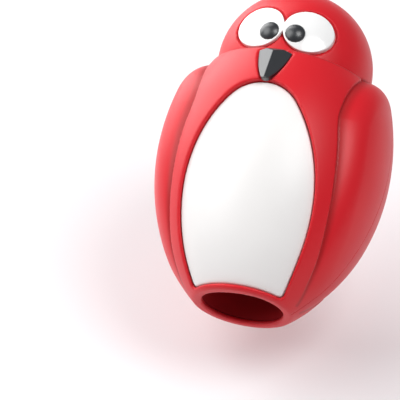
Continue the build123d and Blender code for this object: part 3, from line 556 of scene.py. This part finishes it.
def padWings(points):
    # a point goes straight out or in along X, so it keeps its place in the outline
    wing = onWing(points)
    along, height = points[wing, 1] / mm, points[wing, 2] / mm
    out = np.sqrt(np.maximum(1, pillowRadiusAt(along, height) ** 2 - along**2)) * mm
    points[wing, 0] = np.sign(points[wing, 0]) * out
    return wing


def shellSeat(points):
    body = doorSeat(points)
    padded = padWings(points)
    inside = insidePad(points[:, 1] / mm, points[:, 2] / mm)
    return (body | padded) & ((np.abs(inside) > shellForm["relaxBand"]) | ~padded)


def doorSeat(points):
    return seatOnTurned(points, bodyRadiusAt, 0.0, shellForm["seatReach"] * mm)


def panelSeat(points):
    return seatOnTurned(points, bodyRadiusAt, softForm["panelBack"] * mm, shellForm["seatReach"] * mm)


def eyeSeat(points):
    centre = (0, 0, bodyForm["headHeight"] * mm)
    return seatOnBall(points, centre, softForm["eyeRadius"] * mm, softForm["eyeReach"] * mm)


softPieces = {
    "fillerDoor": {"node": "filler_door", "voxel": 0.4, "keep": 0.6, "seat": doorSeat, "smooth": 3},
    "bellyButton": {"node": "belly_button", "voxel": 0.5, "keep": 0.6, "seat": panelSeat, "smooth": 4},
    "eyeWhites": {"node": "eye_whites", "voxel": 0.3, "keep": 0.8, "seat": eyeSeat, "smooth": 4},
    "pupilLeft": {"node": "pupil_left", "voxel": 0.16, "keep": 1.0, "seat": None, "smooth": 6},
    "pupilRight": {"node": "pupil_right", "voxel": 0.16, "keep": 1.0, "seat": None, "smooth": 6},
    "beak": {"node": "beak", "voxel": 0.25, "keep": 1.0, "seat": None, "smooth": 16},
}
bodyOf = {n: body for body, members in frame["record"]["behaviour"]["bodies"].items() for n in members}


def applyAll(piece):
    selectOnly(piece)
    for modifier in list(piece.modifiers):
        bpy.ops.object.modifier_apply(modifier=modifier.name)


def seatAgain(piece, seat):
    points = readPoints(piece.data)
    seated = seat(points)
    writePoints(piece, points)
    return seated


def standFor(piece, nodeName, paintName):
    piece.data.materials.clear()
    piece.data.materials.append(paints[paintName])
    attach(piece, bodyOf[nodeName])
    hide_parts(nodeName)


def skinOver(name, nodeNames, voxel):
    # one closed skin, with its doubles merged, over one or more nodes
    bpy.ops.object.select_all(action="DESELECT")
    copies = []
    for nodeName in nodeNames:
        copy = bpy.data.objects.new(name + "Skin", nodes[nodeName].data.copy())
        bpy.context.scene.collection.objects.link(copy)
        copy.select_set(True)
        copies.append(copy)
    piece = copies[0]
    bpy.context.view_layer.objects.active = piece
    if len(copies) > 1:
        bpy.ops.object.join()
    bpy.ops.object.mode_set(mode="EDIT")
    bpy.ops.mesh.select_all(action="SELECT")
    bpy.ops.mesh.remove_doubles(threshold=softForm["merge"] * mm)
    bpy.ops.object.mode_set(mode="OBJECT")
    remeshAt(piece, voxel)
    return piece


def remeshAt(piece, voxel):
    remesh = piece.modifiers.new("skin", "REMESH")
    remesh.mode = "VOXEL"
    remesh.voxel_size = voxel * mm
    applyAll(piece)


def relaxFree(piece, seat, rounds):
    # all but the seated points are smoothed, so lips and corners turn as moulded
    free = piece.vertex_groups.new(name="free")
    if seat:
        seated = seatAgain(piece, seat)
        free.add([int(i) for i in np.flatnonzero(~seated)], 1.0, "REPLACE")
    else:
        free.add(list(range(len(piece.data.vertices))), 1.0, "REPLACE")
    relax = piece.modifiers.new("relax", "SMOOTH")
    relax.factor = softForm["relaxFactor"]
    relax.iterations = rounds
    relax.vertex_group = "free"
    applyAll(piece)


def thinOut(piece, keep, seat):
    if keep < 1:
        thin = piece.modifiers.new("thin", "DECIMATE")
        thin.ratio = keep
        applyAll(piece)
        if seat:
            seatAgain(piece, seat)


def soften(name, values):
    nodeName = values["node"]
    piece = skinOver(name, [nodeName], values["voxel"])
    relaxFree(piece, values["seat"], values["smooth"])
    thinOut(piece, values["keep"], values["seat"])
    selectOnly(piece)
    bpy.ops.object.shade_smooth()
    standFor(piece, nodeName, nodeFinish[nodeName])
    print(name, "skinned,", len(piece.data.polygons), "faces")


def cutAcross(piece, back, **ways):
    # an upright cut, at a distance behind the seam
    selectOnly(piece)
    bpy.ops.object.mode_set(mode="EDIT")
    bpy.ops.mesh.select_all(action="SELECT")
    merge = shellForm["cutMerge"] * mm
    bpy.ops.mesh.bisect(plane_co=(0, back * mm, 0), plane_no=(0, 1, 0), threshold=merge, **ways)
    bpy.ops.object.mode_set(mode="OBJECT")


def onSeam(points):
    return np.abs(points[:, 1]) < lineForm["onSeam"] * mm


def sinkSeam(piece):
    # the parting line is a shallow groove in the outer skin
    points = readPoints(piece.data)
    seam = onSeam(points) & nearSkin(points, shellForm["seamWall"])
    seam &= points[:, 2] / mm > shellForm["seamStart"]
    away = np.array([piece.data.vertices[int(i)].normal for i in np.flatnonzero(seam)])
    away[:, 1] = 0
    points[seam] -= away * lineForm["seamDepth"] * mm
    writePoints(piece, points)


def markPaintedShade(piece):
    # the strength of the painted shade on each point: one at the bottom of a groove, less on the seam,
    # nothing beside them
    f = lineForm
    points = readPoints(piece.data)
    height = points[:, 2] / mm
    inside = insidePad(points[:, 1] / mm, height)
    outer = nearSkin(points, shellForm["lineDepth"])
    wingPart = besideMiddle(points) & (height > wingForm["tipStart"])
    # painted shade along the wing grooves and the neck crease
    wing = np.exp(-(((inside - f["wingAside"]) / f["wing"]) ** 2)) * wingPart
    neck = np.exp(-(((height - bodyForm["neckHeight"]) / f["neck"]) ** 2)) * ((inside < 0) | ~wingPart)
    line = np.maximum(wing, neck) * outer
    line[onSeam(points) & outer] = f["seamShade"]
    marks = piece.data.attributes.new("paintedGrooveShade", "FLOAT", "POINT")
    marks.data.foreach_set("value", line.astype(np.float32))


def makeShells():
    # the two shells are skinned as one and then parted at the seam
    f = shellForm
    piece = skinOver("shell", ["front_shell", "rear_shell"], f["voxel"])
    seatAgain(piece, padWings)
    remeshAt(piece, f["voxel"])
    relaxFree(piece, shellSeat, f["smooth"])
    thinOut(piece, f["keep"], shellSeat)
    for cut in (-lineForm["seamReach"], 0, lineForm["seamReach"]):
        cutAcross(piece, cut)
    sinkSeam(piece)
    markPaintedShade(piece)
    rear = piece.copy()
    rear.data = piece.data.copy()
    bpy.context.scene.collection.objects.link(rear)
    piece.name, rear.name = "frontShellSkin", "rearShellSkin"
    cutAcross(piece, 0, use_fill=True, clear_outer=True)
    cutAcross(rear, 0, use_fill=True, clear_inner=True)
    for half, nodeName in ((piece, "front_shell"), (rear, "rear_shell")):
        selectOnly(half)
        bpy.ops.object.shade_smooth()
        standFor(half, nodeName, nodeFinish[nodeName])
        print(nodeName, "skinned,", len(half.data.polygons), "faces")


makeShells()
for name, values in softPieces.items():
    soften(name, values)

springForm = {
    "x": 0, "z": 78, "start": -32.7, "length": 16.4, "radius": 5.8, "wire": 1.3, "turns": 5,
    "wireSides": 12, "turnSteps": 32,
    "keep": 0.64, "anchor": -16.0,  # share of its length left when pressed, and the Y that stays
}


def makeSpring():
    f = springForm
    bpy.ops.object.select_all(action="DESELECT")
    bpy.ops.mesh.primitive_circle_add(
        vertices=f["wireSides"], radius=f["wire"] / 2 * mm, fill_type="NGON",
        location=(f["radius"] * mm, 0, f["wire"] / 2 * mm), rotation=(math.pi / 2, 0, 0),
    )
    piece = bpy.context.active_object
    piece.name = "buttonCoil"
    bpy.ops.object.transform_apply(location=True, rotation=True, scale=True)
    coil = piece.modifiers.new("coil", "SCREW")
    coil.angle = 2 * math.pi * f["turns"]
    coil.screw_offset = (f["length"] - f["wire"]) * mm
    coil.steps = f["turnSteps"] * f["turns"]
    coil.render_steps = f["turnSteps"] * f["turns"]
    coil.use_merge_vertices = False
    applyAll(piece)
    piece.matrix_world = Matrix.Translation(
        (f["x"] * mm, f["start"] * mm, f["z"] * mm)
    ) @ Matrix.Rotation(-math.pi / 2, 4, "X")
    bpy.ops.object.transform_apply(location=True, rotation=True, scale=True)
    bpy.ops.object.mode_set(mode="EDIT")
    bpy.ops.mesh.select_all(action="SELECT")
    bpy.ops.mesh.normals_make_consistent(inside=False)
    bpy.ops.object.mode_set(mode="OBJECT")
    bpy.ops.object.shade_smooth()
    standFor(piece, "button_spring", "plainSteel")
    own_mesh(piece)


makeSpring()
print("spring coiled")
